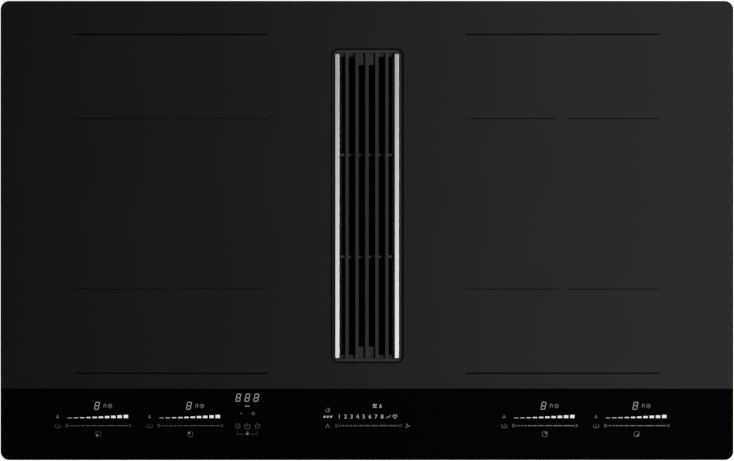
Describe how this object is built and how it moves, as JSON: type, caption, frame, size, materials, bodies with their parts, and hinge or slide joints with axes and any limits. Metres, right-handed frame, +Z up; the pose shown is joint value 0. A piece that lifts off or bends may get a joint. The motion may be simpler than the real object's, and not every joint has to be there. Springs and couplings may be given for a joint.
{
  "type": "downdraft induction cooktop",
  "caption": "Black glass induction hob with touch controls and a central extractor: lift-out grille, grease filter and drip basin, fan scroll, flat rear duct and liquid collector.",
  "frame": {"origin": "middle of the glass plate in plan, at the height of the worktop's surface, where the foam seal lies on it", "axes": "+Z up, -Y towards the cook and the control strip, +X to the cook's right, duct outlet towards +Y"},
  "size_m": [0.83, 0.52, 0.2111],
  "materials": {
    "black_glass": "polished glass-ceramic, opaque black",
    "black_plastic": "fine moulded texture",
    "board_green": "solder mask",
    "bright_steel": "ground",
    "coil_board": "moulded",
    "dark_plastic": "moulded",
    "ferrite": "matt",
    "filter_metal": "satin, anodised",
    "flap_plastic": "moulded",
    "foam_seal": "closed-cell foam",
    "grille_metal": "satin, die-cast",
    "litz": "lacquered copper strands",
    "magnet": "sintered",
    "mica": "matt",
    "plate_aluminium": "mill finish",
    "rail_metal": "brushed along its length",
    "rotor_steel": "drawn",
    "sheet_steel": "galvanised",
    "silicone": "matt",
    "sink_aluminium": "extruded",
    "spring_steel": "bare",
    "stator_iron": "laminated, varnished",
    "white_plastic": "moulded",
    "zinc_screws": "zinc plated"
  },
  "bodies": {
    "root": {"glass_top": "black_glass", "worktop_seal": "foam_seal", "collar_gasket": "silicone", "intake_collar": "black_plastic", "hob_pan": "sheet_steel", "side_springs": "spring_steel", "spring_screws": "zinc_screws", "mica_sheets": "mica", "coil_front_left": "litz", "coil_rear_left": "litz", "coil_front_right": "litz", "coil_rear_right": "litz", "coil_formers": "coil_board", "coil_sensors": "white_plastic", "ferrite_bars": "ferrite", "coil_plate_left": "plate_aluminium", "coil_plate_right": "plate_aluminium", "plate_posts": "white_plastic", "power_board_left": "board_green", "power_board_right": "board_green", "heatsink_left": "sink_aluminium", "heatsink_right": "sink_aluminium", "board_trays": "dark_plastic", "cooling_fan_frame_left": "dark_plastic", "cooling_fan_frame_right": "dark_plastic", "fan_guards": "dark_plastic", "touch_carrier": "white_plastic", "touch_board": "board_green", "display_modules": "white_plastic", "terminal_block": "white_plastic", "cable_gland": "black_plastic", "plenum_cover": "black_plastic", "plenum_base": "black_plastic", "casing_screws": "zinc_screws", "scroll_upper": "dark_plastic", "scroll_lower": "dark_plastic", "blower_screws": "zinc_screws", "motor_stator": "stator_iron", "motor_bearings": "bright_steel", "outlet_spigot": "black_plastic", "driver_case": "black_plastic", "driver_board": "board_green"},
    "basin": {"drip_basin": "black_plastic"},
    "filter": {"filter_frame": "grille_metal", "filter_mesh_left": "filter_metal", "filter_mesh_right": "filter_metal"},
    "grille": {"grille_casting": "grille_metal", "grille_rail_left": "rail_metal", "grille_rail_right": "rail_metal", "grille_pads": "silicone"},
    "blower": {"impeller": "dark_plastic", "motor_rotor": "rotor_steel", "rotor_magnets": "magnet", "motor_shaft": "bright_steel"},
    "cooling_left": {"cooling_rotor_left": "dark_plastic"},
    "cooling_right": {"cooling_rotor_right": "dark_plastic"},
    "flap": {"backdraft_flap": "flap_plastic", "flap_pin": "bright_steel"},
    "collector": {"collector_tray": "black_plastic", "collector_seal": "silicone"}
  },
  "joints": [
    {"name": "basin_lift", "type": "slide", "parent": "root", "child": "basin", "axis": [0, 0, 1], "range_m": [0, 0.15]},
    {"name": "filter_lift", "type": "slide", "parent": "basin", "child": "filter", "axis": [0, 0, 1], "range_m": [0, 0.12]},
    {"name": "grille_lift", "type": "slide", "parent": "filter", "child": "grille", "axis": [0, 0, 1], "range_m": [0, 0.06]},
    {"name": "blower_spin", "type": "hinge", "parent": "root", "child": "blower", "pos_m": [0.184, 0.02, -0.09], "axis": [0, 0, 1], "continuous": true},
    {"name": "cooling_spin_left", "type": "hinge", "parent": "root", "child": "cooling_left", "pos_m": [-0.348, -0.11, -0.047], "axis": [0, 0, 1], "continuous": true},
    {"name": "cooling_spin_right", "type": "hinge", "parent": "root", "child": "cooling_right", "pos_m": [0.348, -0.11, -0.047], "axis": [0, 0, 1], "continuous": true},
    {"name": "flap_swing", "type": "hinge", "parent": "root", "child": "flap", "pos_m": [0.184, 0.2175, -0.064], "axis": [1, 0, 0], "range_deg": [0, 75]},
    {"name": "collector_drop", "type": "slide", "parent": "root", "child": "collector", "axis": [0, 0, -1], "range_m": [0, 0.045]}
  ]
}
